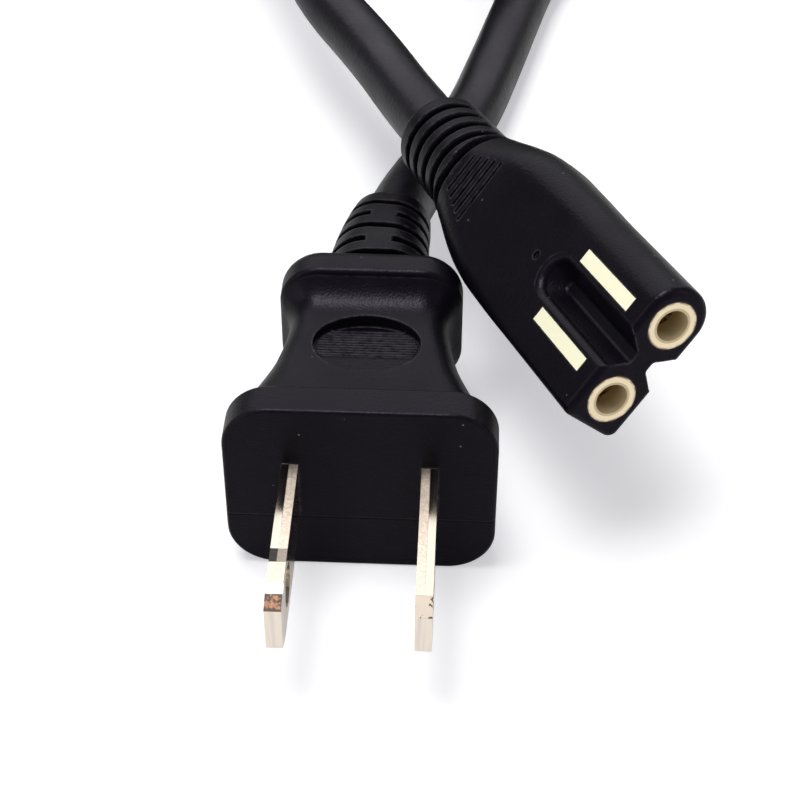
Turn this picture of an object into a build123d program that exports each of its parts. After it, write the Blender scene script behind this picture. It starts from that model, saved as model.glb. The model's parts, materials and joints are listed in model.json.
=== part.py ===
"""Power cord: a two-blade mains plug and a figure-of-eight appliance connector on one round lead.

The origin is the middle of the plug's mating face, midway between the blades. X runs across the blades,
+Y back along the plug and Z up. The plug's flange stands on the table, the connector leans over the plug's
strain relief with its mouth raised, and the rest of the lead lies behind in a tied hank. Millimetres.
"""

import os
from math import asin, cos, degrees, pi, radians, sin, sqrt, tan

from build123d import *

# Plug
FLANGE_WIDTH = 25.0
FLANGE_HEIGHT = 19.1
FLANGE_DEPTH = 3.7
FLANGE_CORNER = 4.5
TABLE = -FLANGE_HEIGHT / 2
# The neck's stations: distance from the mating face, width, height, corner radius.
NECK = [
    (2.6, 24.4, 14.0, 4.2),
    (5.2, 23.7, 11.4, 3.7),
    (8.4, 22.3, 9.7, 3.2),
    (12.0, 19.9, 8.9, 2.9),
    (16.0, 17.3, 8.7, 2.7),
    (19.8, 16.0, 8.8, 2.7),
    (22.0, 16.1, 9.5, 3.0),
    (23.4, 17.2, 11.4, 3.6),
    (24.4, 18.2, 13.6, 4.0),
]
# The neck and shoulder sit a little to the left of the flange's middle.
NECK_X = -0.3
SHOULDER_WIDTH = 18.4
SHOULDER_HEIGHT = 14.2
SHOULDER_FRONT = 24.1
SHOULDER_BACK = 28.4
SHOULDER_CORNER = 4.3
RECESS_Y = 16.2
RECESS_LONG = 10.5
RECESS_SHORT = 8.3
RECESS_DEPTH = 1.3
RIB_COUNT = 10
RIB_PITCH = 0.48
RIB_HEIGHT = 0.2
RELIEF_STRAIGHT = 31.0
RELIEF_ARC = 12.2
RELIEF_BEND = radians(13)
RELIEF_ROLL = radians(50)
RELIEF_ROWS = [29.9, 32.5, 35.1, 37.7, 40.3]
SLOT_WIDTH = 1.15

# Blades
BLADE_PITCH = 12.7
BLADE_WIDTH = 6.35
BLADE_THICKNESS = 1.5
BLADE_LENGTH = 17.2
BLADE_HOLE_RADIUS = 1.98
BLADE_HOLE_Y = -11.9
# Each blade's tip: the chamfer's length along the blade and its height.
BLADE_TIPS = {"left": (2.5, 0.9), "right": (1.6, 1.1)}
BARREL_START = 8.2
BARREL_END = 12.8
BARREL_RADIUS = 1.55
BRIDGE_SIZE = (17.4, 4.2, 8.4)
BRIDGE_START = 1.4

# Lead
CORD_RADIUS = 3.5
CORE_RADIUS = 1.2
STRAND_RADIUS = 0.6
CORE_OFFSET = 1.5
JACKET_START = 26.0

# Connector, in its own frame: mouth at Y = 0, body towards +Y, X across the sockets, Z its top
MOUTH = Vector(25.08, 6.39, 11.0)
MOUTH_AZIMUTH = radians(-66.7)
MOUTH_TILT = radians(6.15)
MOUTH_ROLL = radians(47.67)
SOCKET_PITCH = 8.6
LOBE_LEFT = -7.7
LOBE_RIGHT = 8.0
LOBE_HALF = 3.4
SOCKET_RING = 2.4
# Each socket's narrow lead-in, and the wider chamber behind it that holds the spring contact.
SOCKET_BORE = 1.56
LEAD_IN = 2.8
CHAMBER_BORE = 1.72
PIN_BORE = 1.2
CONTACT_START = 3.0
CONTACT_END = 13.2
INSERT_END = 16.4
STRIP_NEAR = 2.3
STRIP_FAR = 11.85
STRIP_INNER = 2.78
STRIP_OUTER = 4.21
NOTCH_MOUTH = 2.0
NOTCH_FLOOR = 1.05
NOTCH_END = 13.1
NOTCH_LIP = 0.7
# The body's stations: distance from the mouth, left edge, right edge, half height, corner radii.
BODY = [
    (0.0, LOBE_LEFT, LOBE_RIGHT, LOBE_HALF, 1.0, 3.2),
    (13.5, LOBE_LEFT, LOBE_RIGHT, LOBE_HALF, 1.0, 3.2),
    (19.0, -7.75, 8.08, 3.7, 1.5, 3.3),
    (24.0, -7.75, 8.1, 4.15, 2.4, 3.5),
    (27.4, -7.5, 7.9, 4.55, 3.1, 3.7),
    (30.6, -6.85, 7.2, 4.85, 3.5, 4.0),
    (34.2, -5.95, 6.2, 5.1, 4.2, 4.5),
    (37.0, -5.45, 5.5, 5.2, 4.8, 4.8),
]
NECK_END = 36.4
BOOT_END = 48.5
BOOT_RADII = (5.25, 5.0)
BOOT_ROWS = [36.0, 38.45, 40.9, 43.35, 45.8]
BOOT_JACKET_START = 33.0
GRIP_COUNT = 5
GRIP_FIRST = 29.7
GRIP_PITCH = 1.05

# Hank: an oval coil, two turns abreast and three high
HANK_CENTRE = (0.0, 146.0)
HANK_STRAIGHT = 52.0
HANK_RADIUS = 26.0
HANK_COLUMNS = 2
HANK_SLACK = 0.2
HANK_HEIGHT = 21.6
TANGENT = radians(18.5)
PEEL = 26.0
FLOOR_LINE = TABLE + CORD_RADIUS + 0.05
TOP_LINE = TABLE + HANK_HEIGHT - CORD_RADIUS - 0.1
# The tie goes round the waist, where the turns on the right spread to change places.
TIE_SPREAD = 4.0
TIE_SPAN = 9.0
TIE_THICKNESS = 0.6


def write(name, shape):
    """Writes one sub-part as its own STEP file."""
    export_step(shape, f"parts/{name}.step")


def across(y, width, height, corner):
    """A rounded rectangle that stands across the Y axis."""
    plane = Plane(origin=(0, y, 0), x_dir=(1, 0, 0), z_dir=(0, 1, 0))
    return plane * RectangleRounded(width, height, corner)


def rod(start, end, radius):
    """A straight round bar between two points."""
    start, end = Vector(*start), Vector(*end)
    plane = Plane(origin=start, z_dir=end - start)
    return extrude(plane * Circle(radius), (end - start).length)


def tube(path, radius):
    """A round bar along a path of lines and arcs."""
    plane = Plane(origin=path @ 0, z_dir=path % 0)
    return sweep(plane * Circle(radius), path=path)


def route_path(name, points):
    """Straight runs joined by tangent arcs, each as large as its two runs allow."""
    points = [Vector(*p) for p in points]
    radii = []
    for before, here, after in zip(points, points[1:], points[2:]):
        run_in, run_out = here - before, after - here
        turn = radians(run_in.get_angle(run_out))
        radii.append(0.45 * min(run_in.length, run_out.length) / tan(turn / 2))
    print(name, "arc radii", [round(r) for r in radii])
    return FilletPolyline(*points, radius=radii)


# Plug


def relief_frame(y):
    """The strain relief's cross plane at a distance along it: straight at first, then on an arc."""
    side = Vector(cos(RELIEF_ROLL), 0, -sin(RELIEF_ROLL))
    if y <= RELIEF_STRAIGHT:
        return Plane(origin=(0, y, 0), x_dir=(1, 0, 0), z_dir=(0, 1, 0))
    radius = RELIEF_ARC / RELIEF_BEND
    turn = (y - RELIEF_STRAIGHT) / radius
    centre = Vector(0, RELIEF_STRAIGHT + radius * sin(turn), 0) + side * (radius * (1 - cos(turn)))
    ahead = Vector(0, cos(turn), 0) + side * sin(turn)
    return Plane(origin=centre, x_dir=(1, 0, 0), z_dir=ahead)


RELIEF_END = RELIEF_STRAIGHT + RELIEF_ARC


def relief_line():
    """The cord's line inside the plug's strain relief."""
    start, bend = Vector(0, JACKET_START, 0), Vector(0, RELIEF_STRAIGHT, 0)
    middle = relief_frame((RELIEF_STRAIGHT + RELIEF_END) / 2).origin
    return Line(start, bend) + ThreePointArc(bend, middle, relief_frame(RELIEF_END).origin)


def relief_size(y):
    """Width, height and corner radius of the tapered strain relief at a distance along it."""
    k = (y - SHOULDER_BACK + 1.5) / (RELIEF_END - SHOULDER_BACK + 1.5)
    return 11.8 - 3.1 * k, 11.2 - 2.6 * k, 4.9 - 1.3 * k


def slot_ring(plane, width, height, corner, web):
    """One groove round a strain relief, cut down to its core, less the webs that bridge it."""
    core = RectangleRounded(width, height, corner)
    ring = extrude(plane.offset(-SLOT_WIDTH / 2) * (Circle(9) - core), SLOT_WIDTH)
    return ring - plane * web


def plug_relief():
    """The slotted strain relief: even rows are open over the top, odd rows are split by a web there."""
    stations = [SHOULDER_BACK - 1.5, RELIEF_STRAIGHT, 34.0, 37.0, 40.0, RELIEF_END]
    relief = loft([relief_frame(y) * RectangleRounded(*relief_size(y)) for y in stations])
    relief = fillet(relief.faces().sort_by(Axis.Y)[-1].edges(), 0.5)
    for i, y in enumerate(RELIEF_ROWS):
        width, height, _ = relief_size(y)
        k = i / (len(RELIEF_ROWS) - 1)
        core = 2 * (4.35 - 0.45 * k)
        web = Box(18, 2.6, 3) if i % 2 == 0 else Box(2.7, 18, 3)
        relief -= slot_ring(relief_frame(y), core, core, core / 2 - 0.5, web)
    return relief


def thumb_recess():
    """The oval dish in the neck's top: its floor slopes down to a wall at the back, and carries ribs."""
    top = max(h for y, w, h, r in NECK[3:6]) / 2
    slope = RECESS_DEPTH / RECESS_SHORT
    floor = Plane(
        origin=(NECK_X, RECESS_Y, top - RECESS_DEPTH / 2 - 0.05),
        x_dir=(1, 0, 0),
        z_dir=(0, slope, 1),
    )
    dish = extrude(floor * Ellipse(RECESS_LONG / 2, RECESS_SHORT / 2), 3)
    ribs = Part()
    for i in range(RIB_COUNT):
        y = RECESS_SHORT * 0.34 - RIB_PITCH * i
        half = RECESS_LONG / 2 * sqrt(1 - (2 * y / RECESS_SHORT) ** 2) * 0.94
        ribs += floor * Pos(0, y, 0) * Box(2 * half, RIB_PITCH / 2, 2 * RIB_HEIGHT)
    return dish, ribs


def plug_body(inner):
    """The moulding: flange, waisted neck, shoulder and strain relief in one piece."""
    flange = extrude(across(0, FLANGE_WIDTH, FLANGE_HEIGHT, FLANGE_CORNER), FLANGE_DEPTH)
    flange = fillet(flange.faces().sort_by(Axis.Y)[0].edges(), 0.35)
    flange = fillet(flange.faces().sort_by(Axis.Y)[-1].edges(), 0.5)
    neck = Pos(NECK_X, 0, 0) * loft([across(*station) for station in NECK])
    shoulder = extrude(
        across(SHOULDER_FRONT, SHOULDER_WIDTH, SHOULDER_HEIGHT, SHOULDER_CORNER),
        SHOULDER_BACK - SHOULDER_FRONT,
    )
    shoulder = fillet(shoulder.faces().sort_by(Axis.Y)[0].edges(), 0.6)
    shoulder = Pos(NECK_X, 0, 0) * fillet(shoulder.faces().sort_by(Axis.Y)[-1].edges(), 2.0)
    body = flange + neck + shoulder + plug_relief()
    dish, ribs = thumb_recess()
    for side in (dish, mirror(dish, about=Plane.XY)):
        body -= side
    for side in (ribs, mirror(ribs, about=Plane.XY)):
        body += side
    for piece in inner:
        body -= piece
    return body


def blade(side):
    """A flat contact blade with a chamfered tip, a hole, and a crimp barrel inside the plug."""
    x = BLADE_PITCH / 2 * (-1 if side == "left" else 1)
    along, high = BLADE_TIPS[side]
    half, neck = BLADE_WIDTH / 2, 1.3
    outline = Polyline(
        (-BLADE_LENGTH, half - high),
        (-BLADE_LENGTH + along, half),
        (6.0, half),
        (7.3, neck),
        (BARREL_START + 0.4, neck),
        (BARREL_START + 0.4, -neck),
        (7.3, -neck),
        (6.0, -half),
        (-BLADE_LENGTH + along, -half),
        (-BLADE_LENGTH, -half + high),
        close=True,
    )
    strip = extrude(Plane.YZ * make_face(outline), BLADE_THICKNESS / 2, both=True)
    hole = rod((-2, BLADE_HOLE_Y, 0), (2, BLADE_HOLE_Y, 0), BLADE_HOLE_RADIUS)
    barrel = rod((0, BARREL_START, 0), (0, BARREL_END, 0), BARREL_RADIUS)
    bore = rod((0, BARREL_START + 0.4, 0), (0, BARREL_END, 0), STRAND_RADIUS)
    return Pos(x, 0, 0) * (strip - hole + barrel - bore)


def core_pair(start_x, strand_start, sleeve_start, bend_start, bend_end, jacket):
    """One insulated conductor from its crimp to the jacket: the copper strand and its sleeve."""
    offset = CORE_OFFSET if start_x > 0 else -CORE_OFFSET

    def line(first):
        points = [(start_x, first, 0), (start_x, bend_start, 0), (offset, bend_end, 0), (offset, jacket, 0)]
        return FilletPolyline(*points, radius=4)

    strand = tube(line(strand_start), STRAND_RADIUS)
    sleeve = tube(line(sleeve_start), CORE_RADIUS) - tube(line(sleeve_start), STRAND_RADIUS)
    return strand, sleeve


def build_plug():
    """Every piece of the plug, by node name."""
    pieces = {"plug_cord_end": tube(relief_line(), CORD_RADIUS)}
    for side, x in (("left", -BLADE_PITCH / 2), ("right", BLADE_PITCH / 2)):
        pieces[f"plug_blade_{side}"] = blade(side)
        strand, sleeve = core_pair(x, BARREL_START + 0.4, 13.1, 14.5, 22.0, JACKET_START)
        pieces[f"plug_strand_{side}"] = strand
        pieces[f"plug_core_{side}"] = sleeve
    bridge = Pos(0, BRIDGE_START + BRIDGE_SIZE[1] / 2, 0) * Box(*BRIDGE_SIZE)
    for side in ("left", "right"):
        bridge -= pieces[f"plug_blade_{side}"]
    pieces["plug_bridge"] = bridge
    pieces["plug_body"] = plug_body(list(pieces.values()))
    return pieces


# Connector


def mouth_plane():
    """The connector's frame in the cord's frame: rolled over, with its mouth tilted up."""
    out = Vector(cos(MOUTH_TILT) * cos(MOUTH_AZIMUTH), cos(MOUTH_TILT) * sin(MOUTH_AZIMUTH), sin(MOUTH_TILT))
    level = Vector(-sin(MOUTH_AZIMUTH), cos(MOUTH_AZIMUTH), 0)
    upright = out.cross(level)
    across_sockets = level * cos(MOUTH_ROLL) + upright * sin(MOUTH_ROLL)
    top = upright * cos(MOUTH_ROLL) - level * sin(MOUTH_ROLL)
    return Plane(origin=MOUTH, x_dir=across_sockets, z_dir=top)


def body_section(y, left, right, half, left_radius, right_radius):
    """A section of the connector: tight corners on its square side, large ones on its round side."""
    plane = Plane(origin=(0, y, 0), x_dir=(1, 0, 0), z_dir=(0, -1, 0))
    rl, rr = left_radius, right_radius
    kl, kr = rl * (1 - cos(pi / 4)), rr * (1 - cos(pi / 4))
    outline = [
        Line((left + rl, half), (right - rr, half)),
        ThreePointArc((right - rr, half), (right - kr, half - kr), (right, half - rr)),
        Line((right, half - rr), (right, rr - half)),
        ThreePointArc((right, rr - half), (right - kr, kr - half), (right - rr, -half)),
        Line((right - rr, -half), (left + rl, -half)),
        ThreePointArc((left + rl, -half), (left + kl, kl - half), (left, rl - half)),
        Line((left, rl - half), (left, half - rl)),
        ThreePointArc((left, half - rl), (left + kl, half - kl), (left + rl, half)),
    ]
    return plane * make_face(outline)


def gentle_slopes(places, values):
    """Slopes at each station for a curve that never overshoots its values."""
    runs = [(v1 - v0) / (y1 - y0) for y0, y1, v0, v1 in zip(places, places[1:], values, values[1:])]
    inner = [2 * a * b / (a + b) if a * b > 0 else 0.0 for a, b in zip(runs, runs[1:])]
    return [0.0, *inner, runs[-1]]


def body_stations(steps=3):
    """The connector's stations with more between them, so flat faces follow a smooth outline."""
    places = [station[0] for station in BODY]
    columns = [list(column) for column in zip(*BODY)][1:]
    slopes = [gentle_slopes(places, column) for column in columns]
    stations = []
    for i in range(len(BODY) - 1):
        length = places[i + 1] - places[i]
        for k in range(steps):
            u = k / steps
            h0, h1 = 2 * u**3 - 3 * u**2 + 1, u**3 - 2 * u**2 + u
            h2, h3 = 3 * u**2 - 2 * u**3, u**3 - u**2
            values = [
                h0 * c[i] + h1 * length * m[i] + h2 * c[i + 1] + h3 * length * m[i + 1]
                for c, m in zip(columns, slopes)
            ]
            stations.append((places[i] + u * length, *values))
            if BODY[i][1:] == BODY[i + 1][1:]:
                break
    return stations + [BODY[-1]]


def notch_side():
    """One side of the groove's section: a narrow floor, a sloping wall and a rounded lip."""
    top = LOBE_HALF + 0.02
    floor, foot = (0.0, NOTCH_FLOOR), (0.35, NOTCH_FLOOR)
    bend, wall = (0.62, NOTCH_FLOOR + 0.12), (0.8, NOTCH_FLOOR + 0.38)
    lip, turn = (NOTCH_MOUTH - 0.25, top - NOTCH_LIP), (NOTCH_MOUTH + 0.08, top - 0.2)
    edge = (NOTCH_MOUTH + NOTCH_LIP, top)
    return [
        Line(floor, foot),
        ThreePointArc(foot, bend, wall),
        Line(wall, lip),
        ThreePointArc(lip, turn, edge),
        Line(edge, (NOTCH_MOUTH + NOTCH_LIP, top + 1)),
        Line((NOTCH_MOUTH + NOTCH_LIP, top + 1), (0.0, top + 1)),
        Line((0.0, top + 1), floor),
    ]


def notch():
    """The groove between the two lobes, open at the mouth and rounded off at the back."""
    side = make_face(notch_side())
    end = Plane(origin=(0, NOTCH_END, 0), x_dir=(1, 0, 0), z_dir=(0, -1, 0))
    half = extrude(end * side, NOTCH_END + 1)
    cone = revolve(end * side, Axis((0, NOTCH_END, 0), (0, 0, 1)), 360)
    return half + mirror(half, about=Plane.YZ) + cone


def boot():
    """The connector's strain relief: a slightly tapered round sleeve with five grooves."""
    frame = Plane(origin=(0, NECK_END - 1.5, 0), x_dir=(1, 0, 0), z_dir=(0, 1, 0))
    length = BOOT_END - NECK_END + 1.5
    sleeve = loft([frame * Circle(BOOT_RADII[0]), frame.offset(length) * Circle(BOOT_RADII[1])])
    return fillet(sleeve.faces().sort_by(Axis.Y)[-1].edges(), 0.7)


def boot_slots():
    """The five grooves of the strain relief, with eased edges, each bridged by a web along both sides."""
    slots = Part()
    for i, y in enumerate(BOOT_ROWS):
        core, skin, half = 4.2 - 0.08 * i, 5.25 - 0.02 * i, SLOT_WIDTH / 2
        profile = Polyline(
            (core, y - half),
            (skin - 0.35, y - half),
            (9, y - half - 1.6),
            (9, y + half + 1.6),
            (skin - 0.35, y + half),
            (core, y + half),
            close=True,
        )
        ring = revolve(make_face(profile), Axis.Y, 360)
        slots += ring - Pos(0, y, -0.45) * Box(24, 5, 2.5)
    return slots


def grip_lines():
    """Five fine lines cut across the body's top in front of the strain relief."""
    lines = Part()
    for i in range(GRIP_COUNT):
        y = GRIP_FIRST + GRIP_PITCH * i
        width = 7.3 - 0.68 * i
        top = 4.72 + 0.062 * (y - GRIP_FIRST)
        lines += Pos(0.28, y, top) * Box(width, 0.4, 0.5)
    return lines


def connector_body(inner):
    """The moulding: squared and rounded lobes at the mouth, a shoulder that narrows, and the boot."""
    body = loft([body_section(*station) for station in body_stations()], ruled=True)
    body = fillet(body.faces().sort_by(Axis.Y)[0].edges(), 0.75)
    body += boot()
    groove = notch()
    body -= groove
    body -= mirror(groove, about=Plane.XY)
    body -= boot_slots()
    body -= grip_lines()
    body -= rod((0.1, 17.4, 3.2), (0.1, 17.4, 6), 0.45)
    for piece in inner:
        body -= piece
    return body


def socket_insert():
    """The pale block that lines both sockets: two tubes, a back plate, and ribs up to the surface."""
    depth = STRIP_FAR - STRIP_NEAR
    block = Pos(0, INSERT_END - 0.8, 0) * Box(SOCKET_PITCH + 2 * SOCKET_RING - 0.6, 1.6, 3.4)
    for side in (-1, 1):
        x = side * SOCKET_PITCH / 2
        block += rod((x, 0, 0), (x, INSERT_END, 0), SOCKET_RING)
        centre = side * (STRIP_INNER + STRIP_OUTER) / 2
        block += Pos(centre, STRIP_NEAR + depth / 2, 0) * Box(STRIP_OUTER - STRIP_INNER, depth, 2 * LOBE_HALF)
    for side in (-1, 1):
        x = side * SOCKET_PITCH / 2
        block -= rod((x, 0, 0), (x, LEAD_IN, 0), SOCKET_BORE)
        block -= rod((x, LEAD_IN, 0), (x, INSERT_END, 0), CHAMBER_BORE)
    return block


def contact(x):
    """A spring sleeve that grips a round pin, slit lengthways, with a crimp barrel behind."""
    sleeve = rod((x, CONTACT_START, 0), (x, CONTACT_END, 0), CHAMBER_BORE)
    sleeve -= rod((x, CONTACT_START, 0), (x, CONTACT_END - 0.8, 0), PIN_BORE)
    sleeve -= Pos(x, CONTACT_START + 3.6, 0) * Box(0.5, 7.4, 4)
    barrel = rod((x, CONTACT_END, 0), (x, CONTACT_END + 5.2, 0), 1.35)
    bore = rod((x, CONTACT_END + 0.4, 0), (x, CONTACT_END + 5.2, 0), STRAND_RADIUS)
    return sleeve + barrel - bore


def build_connector():
    """Every piece of the connector, by node name, placed where it lies."""
    jacket = rod((0, BOOT_JACKET_START, 0), (0, BOOT_END, 0), CORD_RADIUS)
    pieces = {"connector_cord_end": jacket, "connector_insert": socket_insert()}
    hollow = []
    for side, x in (("left", -SOCKET_PITCH / 2), ("right", SOCKET_PITCH / 2)):
        pieces[f"connector_contact_{side}"] = contact(x)
        hollow.append(rod((x, 0, 0), (x, INSERT_END, 0), CHAMBER_BORE))
        strand, sleeve = core_pair(x, CONTACT_END + 0.4, 18.8, 21.0, 27.5, BOOT_JACKET_START)
        pieces[f"connector_strand_{side}"] = strand
        pieces[f"connector_core_{side}"] = sleeve
    pieces["connector_body"] = connector_body(list(pieces.values()) + hollow)
    place = mouth_plane().location
    return {name: place * shape for name, shape in pieces.items()}


# Lead


def tangent_point(side, height):
    """Where the lead meets the hank's outer turn at its front end: side -1 on the left, 1 on the right."""
    reach = HANK_RADIUS + CORD_RADIUS
    return Vector(
        HANK_CENTRE[0] + side * reach * cos(TANGENT),
        HANK_CENTRE[1] - reach * sin(TANGENT),
        height,
    )


def peel_point(side, height):
    """The end of the straight stretch that leaves the hank towards the front."""
    return tangent_point(side, height) - Vector(side * sin(TANGENT), cos(TANGENT), 0) * PEEL


def plug_route():
    """From the plug's strain relief down to the table, under the connector, and back to the hank."""
    start = relief_frame(RELIEF_END)
    return [
        start.origin,
        start.origin + start.z_dir * 7,
        (4.7, 60.0, -4.1),
        (8.9, 72.5, -5.8),
        (12.2, 88.0, FLOOR_LINE),
        peel_point(1, FLOOR_LINE) - Vector(sin(TANGENT), cos(TANGENT), 0) * 14,
        peel_point(1, FLOOR_LINE),
    ]


def connector_route():
    """From the connector's strain relief, over the plug's lead, and level back to the hank's top turn."""
    start = mouth_plane()
    back = start.y_dir
    leave = start.origin + back * BOOT_END
    return [
        leave,
        leave + back * 9,
        (-3.0, 71.6, 4.1),
        (-9.7, 86.2, 4.4),
        peel_point(-1, TOP_LINE) - Vector(-sin(TANGENT), cos(TANGENT), 0) * 12,
        peel_point(-1, TOP_LINE),
    ]


def hank_slot(grow, bottom, height):
    """An oval block round the hank's middle line, wider than that line by grow on each side."""
    middle = Pos(HANK_CENTRE[0], HANK_CENTRE[1] + HANK_STRAIGHT / 2, bottom) * Rot(0, 0, 90)
    return extrude(middle * SlotCenterToCenter(HANK_STRAIGHT, 2 * (HANK_RADIUS + grow)), height)


def build_lead():
    """The two free stretches, the tied hank and its tie, by node name."""
    width = 2 * CORD_RADIUS * HANK_COLUMNS + 2 * HANK_SLACK
    ring = hank_slot(width / 2, TABLE, HANK_HEIGHT) - hank_slot(-width / 2, TABLE, HANK_HEIGHT)
    ring = fillet(ring.edges().filter_by(Axis.Y) + ring.edges().filter_by(GeomType.CIRCLE), 3.2)
    for side, level in ((-1, TOP_LINE), (1, FLOOR_LINE)):
        ring += rod(tuple(tangent_point(side, level)), tuple(peel_point(side, level)), CORD_RADIUS)
    around = 2 * HANK_RADIUS + width + TIE_SPREAD
    at = Pos(HANK_CENTRE[0] + TIE_SPREAD / 2, HANK_CENTRE[1] + HANK_STRAIGHT / 2, TABLE)
    outer = Pos(0, (HANK_HEIGHT + TIE_THICKNESS) / 2) * RectangleRounded(
        around + 2 * TIE_THICKNESS, HANK_HEIGHT + TIE_THICKNESS, 4.0
    )
    inner = Pos(0, (HANK_HEIGHT + TIE_THICKNESS) / 2) * RectangleRounded(around, HANK_HEIGHT - TIE_THICKNESS, 3.4)
    tie = at * extrude(Plane.XZ * (outer - inner), TIE_SPAN / 2, both=True)
    return {
        "cord_coil": ring - tie,
        "coil_tie": tie,
        "cord_plug_side": tube(route_path("plug side", plug_route()), CORD_RADIUS),
        "cord_connector_side": tube(route_path("connector side", connector_route()), CORD_RADIUS),
    }


os.makedirs("parts", exist_ok=True)
for name, shape in {**build_plug(), **build_connector(), **build_lead()}.items():
    write(name, shape)
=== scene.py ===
"""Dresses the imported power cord: its lead, strap, finishes, camera, lamps and floor.

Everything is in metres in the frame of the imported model: the origin is the middle of the plug's mating face,
X runs across the blades, Y back along the plug and Z up.
"""

from __future__ import annotations

import json
import logging
import math
from dataclasses import dataclass, field
from enum import Enum

import bpy
from mathutils import Matrix, Vector

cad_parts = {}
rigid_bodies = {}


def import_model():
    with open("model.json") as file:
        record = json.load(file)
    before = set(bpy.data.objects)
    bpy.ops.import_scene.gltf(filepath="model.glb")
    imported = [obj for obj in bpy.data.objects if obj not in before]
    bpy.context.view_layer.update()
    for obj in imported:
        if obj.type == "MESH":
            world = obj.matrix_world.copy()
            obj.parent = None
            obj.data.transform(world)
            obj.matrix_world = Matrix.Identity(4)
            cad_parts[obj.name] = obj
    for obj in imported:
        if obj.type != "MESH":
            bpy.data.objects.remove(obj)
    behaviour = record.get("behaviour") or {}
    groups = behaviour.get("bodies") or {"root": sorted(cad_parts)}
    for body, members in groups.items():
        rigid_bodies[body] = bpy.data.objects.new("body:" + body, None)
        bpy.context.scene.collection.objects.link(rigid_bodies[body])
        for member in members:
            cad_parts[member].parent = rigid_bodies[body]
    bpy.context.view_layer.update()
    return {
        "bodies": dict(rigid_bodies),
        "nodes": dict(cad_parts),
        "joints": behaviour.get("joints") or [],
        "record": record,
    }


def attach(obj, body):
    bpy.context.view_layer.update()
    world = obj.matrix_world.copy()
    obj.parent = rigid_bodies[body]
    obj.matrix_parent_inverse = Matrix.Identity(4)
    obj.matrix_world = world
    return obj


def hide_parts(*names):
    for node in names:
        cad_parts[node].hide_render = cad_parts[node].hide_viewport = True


LOG = logging.getLogger("power_cord")
MM = 0.001
TABLE = -9.55 * MM

Triple = tuple[float, float, float]


class Part(Enum):
    """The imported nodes, grouped by the finish they take."""

    PLUG = ("plug_body",)
    MOULDING = ("connector_body",)
    BLADE = ("plug_blade_left", "plug_blade_right")
    CONTACT = ("connector_contact_left", "connector_contact_right")
    INSERT = ("connector_insert",)
    BRIDGE = ("plug_bridge",)
    JACKET = ("plug_cord_end", "connector_cord_end")
    WHITE_CORE = ("plug_core_left", "connector_core_left")
    BLACK_CORE = ("plug_core_right", "connector_core_right")
    STRAND = (
        "plug_strand_left",
        "plug_strand_right",
        "connector_strand_left",
        "connector_strand_right",
    )


class Slot(Enum):
    """The record's material slots for the lead's jacket and the tie; the new pieces take their finishes from Finishes
    instead.
    """

    JACKET = "cord_jacket"
    TIE = "tie_plastic"


def ease(share: float) -> float:
    """Start and stop a move gently: 0 before it, 1 after it."""
    share = min(max(share, 0.0), 1.0)
    return share * share * (3 - 2 * share)


def opaque(colour: Triple) -> tuple[float, float, float, float]:
    """Give a colour its full opacity."""
    return (*colour, 1.0)


def deselect_all() -> None:
    """Leave nothing selected, so an operator acts only on what is picked next."""
    for thing in list(bpy.context.selected_objects):
        thing.select_set(False)


def pick(thing: bpy.types.Object) -> None:
    """Make one object the only selected one, and the active one."""
    deselect_all()
    thing.select_set(True)
    bpy.context.view_layer.objects.active = thing


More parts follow.
